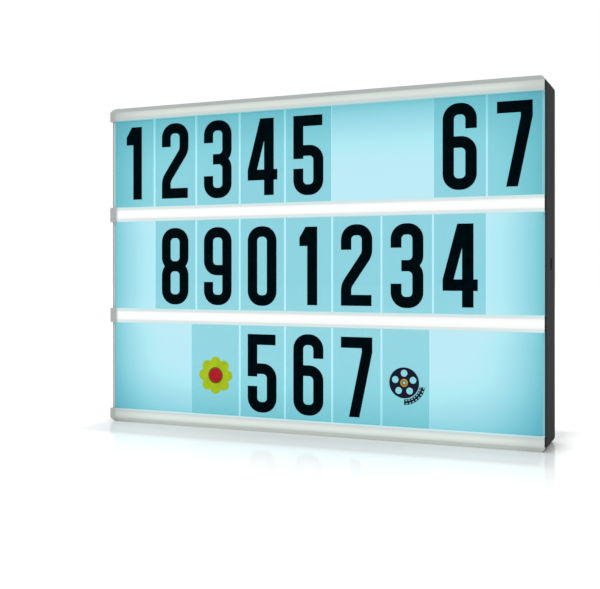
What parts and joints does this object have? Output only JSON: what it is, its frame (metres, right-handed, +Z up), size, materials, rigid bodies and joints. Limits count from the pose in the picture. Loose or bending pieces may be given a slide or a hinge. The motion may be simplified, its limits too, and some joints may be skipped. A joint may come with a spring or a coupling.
{
  "type": "cinema light box",
  "caption": "Backlit message light box with clear character cards sliding in rails, an opal diffuser, a lamp tray, a control board with switch, button and socket, and a battery compartment.",
  "frame": {"origin": "middle of the box's footprint, on the surface that it stands on", "axes": "+X to the right as the cards are read, along the rails; +Y from the cards to the back; +Z up"},
  "size_m": [0.3, 0.042, 0.22],
  "materials": {
    "charcoal_abs": "fine moulded texture",
    "white_abs": "fine moulded texture",
    "rail_acrylic": "extruded, satin, lets some light through",
    "opal_acrylic": "opal, lit from behind",
    "clear_film": "clear, glossy",
    "white_styrene": "formed sheet, satin white",
    "circuit_board": "green solder mask",
    "lamp_strip": "white solder mask",
    "lamp_chip": "white package, clear resin",
    "component_black": "black moulding",
    "switch_black": "satin black",
    "button_grey": "satin mid grey",
    "connector_nylon": "natural nylon",
    "zinc_steel": "zinc plated",
    "nickel_contact": "nickel plated",
    "wire_pvc": "insulated lead",
    "cell_sleeve": "plain grey sleeve"
  },
  "bodies": {
    "light_box": {"battery_cells": "cell_sleeve", "battery_leads": "wire_pvc", "battery_plates": "nickel_contact", "battery_springs": "nickel_contact", "battery_tub": "charcoal_abs", "board_components": "component_black", "board_connector": "connector_nylon", "board_screws": "zinc_steel", "bottom_rail": "rail_acrylic", "control_board": "circuit_board", "diffuser_panel": "opal_acrylic", "front_frame": "white_abs", "housing_screws": "zinc_steel", "led_chips_lower": "lamp_chip", "led_chips_middle": "lamp_chip", "led_chips_upper": "lamp_chip", "led_strip_lower": "lamp_strip", "led_strip_middle": "lamp_strip", "led_strip_upper": "lamp_strip", "lower_middle_rail": "rail_acrylic", "power_socket": "component_black", "power_switch_body": "component_black", "rear_housing": "charcoal_abs", "reflector_tray": "white_styrene", "socket_centre_pin": "nickel_contact", "strip_jumpers": "wire_pvc", "strip_leads": "wire_pvc", "tact_switch_body": "component_black", "top_rail": "rail_acrylic", "tray_screws": "zinc_steel", "tub_screws": "zinc_steel", "upper_middle_rail": "rail_acrylic"},
    "upper_left_cards": {"upper_card_1": "clear_film", "upper_card_2": "clear_film", "upper_card_3": "clear_film", "upper_card_4": "clear_film", "upper_card_5": "clear_film"},
    "upper_right_cards": {"upper_card_8": "clear_film", "upper_card_9": "clear_film"},
    "middle_cards": {"middle_card_2": "clear_film", "middle_card_3": "clear_film", "middle_card_4": "clear_film", "middle_card_5": "clear_film", "middle_card_6": "clear_film", "middle_card_7": "clear_film", "middle_card_8": "clear_film"},
    "lower_cards": {"lower_card_3": "clear_film", "lower_card_4": "clear_film", "lower_card_5": "clear_film", "lower_card_6": "clear_film", "lower_card_7": "clear_film"},
    "power_switch": {"power_switch_knob": "switch_black"},
    "mode_push_button": {"mode_button": "button_grey", "tact_plunger": "switch_black"},
    "battery_cover": {"battery_door": "charcoal_abs"}
  },
  "joints": [
    {"name": "upper_left_cards_slide", "type": "slide", "parent": "light_box", "child": "upper_left_cards", "axis": [1, 0, 0], "range_m": [0, 0.03305]},
    {"name": "upper_right_cards_slide", "type": "slide", "parent": "light_box", "child": "upper_right_cards", "axis": [1, 0, 0], "range_m": [-0.03305, 0]},
    {"name": "middle_cards_slide", "type": "slide", "parent": "light_box", "child": "middle_cards", "axis": [1, 0, 0], "range_m": [-0.03305, 0.03305]},
    {"name": "lower_cards_slide", "type": "slide", "parent": "light_box", "child": "lower_cards", "axis": [1, 0, 0], "range_m": [-0.0616, 0.0661]},
    {"name": "power_switch_slide", "type": "slide", "parent": "light_box", "child": "power_switch", "axis": [1, 0, 0], "range_m": [-0.004, 0]},
    {"name": "mode_button_press", "type": "slide", "parent": "light_box", "child": "mode_push_button", "axis": [0, -1, 0], "range_m": [0, 0.0006], "stiffness_N_per_m": 1200},
    {"name": "battery_cover_hinge", "type": "hinge", "parent": "light_box", "child": "battery_cover", "pos_m": [0, 0.021, 0.039], "axis": [-1, 0, 0], "range_deg": [0, 80]}
  ]
}
